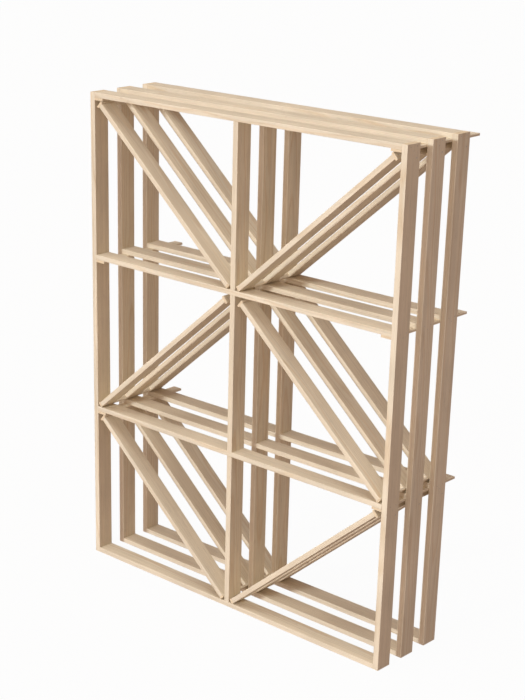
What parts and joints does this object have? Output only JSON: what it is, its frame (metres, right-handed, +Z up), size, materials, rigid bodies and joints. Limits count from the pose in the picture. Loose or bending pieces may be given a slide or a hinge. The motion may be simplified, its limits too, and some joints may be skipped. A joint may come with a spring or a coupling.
{
  "type": "wine rack",
  "caption": "Open slatted timber wine rack: rows of square bins, each split by a diagonal shelf of slats, for bottles lying on their sides.",
  "frame": {"origin": "on the floor, under the centre of the whole rack's outline including the cleat ends behind it", "axes": "+Z up, front towards -Y where the bottle necks show, +X to the right seen from the front"},
  "size_m": [0.966, 0.2854, 1.235],
  "materials": {
    "pine_post": "sanded, unfinished pale pine with fine straight grain",
    "pine_slat": "sanded, unfinished pale pine with fine straight grain",
    "pine_batten": "sanded, unfinished pale pine, thin batten stock",
    "nail_steel": "bright wire nail steel"
  },
  "bodies": {
    "root": {"side_post_left_front": "pine_post", "side_post_left_middle": "pine_post", "side_post_left_rear": "pine_post", "side_post_right_front": "pine_post", "side_post_right_middle": "pine_post", "side_post_right_rear": "pine_post", "centre_post_front": "pine_post", "centre_post_middle": "pine_post", "centre_post_rear": "pine_post", "bottom_slat_front": "pine_slat", "bottom_slat_middle": "pine_slat", "bottom_slat_rear": "pine_slat", "lower_shelf_slat_front": "pine_slat", "lower_shelf_slat_middle": "pine_slat", "lower_shelf_slat_rear": "pine_slat", "upper_shelf_slat_front": "pine_slat", "upper_shelf_slat_middle": "pine_slat", "upper_shelf_slat_rear": "pine_slat", "top_slat_front": "pine_slat", "top_slat_middle": "pine_slat", "top_slat_rear": "pine_slat", "lower_shelf_cleat_left": "pine_batten", "lower_shelf_cleat_right": "pine_batten", "upper_shelf_cleat_left": "pine_batten", "upper_shelf_cleat_right": "pine_batten", "top_cleat_left": "pine_batten", "top_cleat_right": "pine_batten", "diagonal_slat_bottom_left_front": "pine_slat", "diagonal_slat_bottom_left_middle": "pine_slat", "diagonal_slat_bottom_left_rear": "pine_slat", "diagonal_slat_bottom_right_front": "pine_slat", "diagonal_slat_bottom_right_middle": "pine_slat", "diagonal_slat_bottom_right_rear": "pine_slat", "diagonal_slat_middle_left_front": "pine_slat", "diagonal_slat_middle_left_middle": "pine_slat", "diagonal_slat_middle_left_rear": "pine_slat", "diagonal_slat_middle_right_front": "pine_slat", "diagonal_slat_middle_right_middle": "pine_slat", "diagonal_slat_middle_right_rear": "pine_slat", "diagonal_slat_top_left_front": "pine_slat", "diagonal_slat_top_left_middle": "pine_slat", "diagonal_slat_top_left_rear": "pine_slat", "diagonal_slat_top_right_front": "pine_slat", "diagonal_slat_top_right_middle": "pine_slat", "diagonal_slat_top_right_rear": "pine_slat", "head_strip_bottom_left": "pine_batten", "head_strip_bottom_right": "pine_batten", "head_strip_middle_left": "pine_batten", "head_strip_middle_right": "pine_batten", "head_strip_top_left": "pine_batten", "head_strip_top_right": "pine_batten", "foot_strip_bottom_left": "pine_batten", "foot_strip_bottom_right": "pine_batten", "foot_strip_middle_left": "pine_batten", "foot_strip_middle_right": "pine_batten", "foot_strip_top_left": "pine_batten", "foot_strip_top_right": "pine_batten", "brads": "nail_steel", "diagonal_nails": "nail_steel"}
  },
  "joints": []
}
